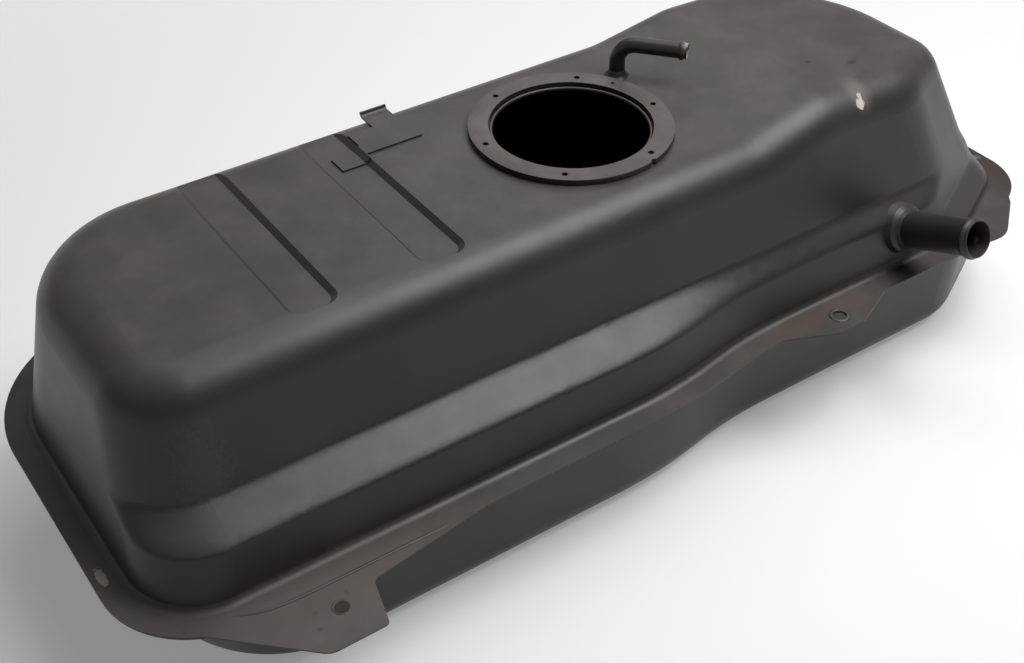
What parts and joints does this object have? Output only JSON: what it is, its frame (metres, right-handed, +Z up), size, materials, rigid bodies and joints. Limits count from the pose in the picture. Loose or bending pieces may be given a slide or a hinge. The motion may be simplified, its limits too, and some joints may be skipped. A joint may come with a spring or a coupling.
{
  "type": "fuel tank",
  "caption": "Long pressed-steel fuel tank of a car with a raised end, a flanged seam, an open sender ring, a filler neck and a bent vent pipe.",
  "frame": {"origin": "centre of the sender opening at the ring's top face", "axes": "+X along the tank towards the raised end with the filler neck, +Y towards the long side away from the filler neck, +Z up along the sender opening's axis"},
  "size_m": [0.884, 0.406, 0.276],
  "materials": {
    "upper_paint": "satin black paint with light dust",
    "lower_paint": "satin black paint with light dust",
    "ring_paint": "satin black paint",
    "neck_paint": "satin black paint",
    "pipe_paint": "satin black paint",
    "bracket_paint": "satin black paint",
    "bare_steel": "plain tin-coated steel"
  },
  "bodies": {
    "root": {"upper_shell": "upper_paint", "lower_shell": "lower_paint", "sender_ring": "ring_paint", "filler_neck": "neck_paint", "vent_pipe": "pipe_paint", "line_bracket": "bracket_paint", "baffle_left": "bare_steel", "baffle_right": "bare_steel", "surge_pot": "bare_steel"}
  },
  "joints": []
}
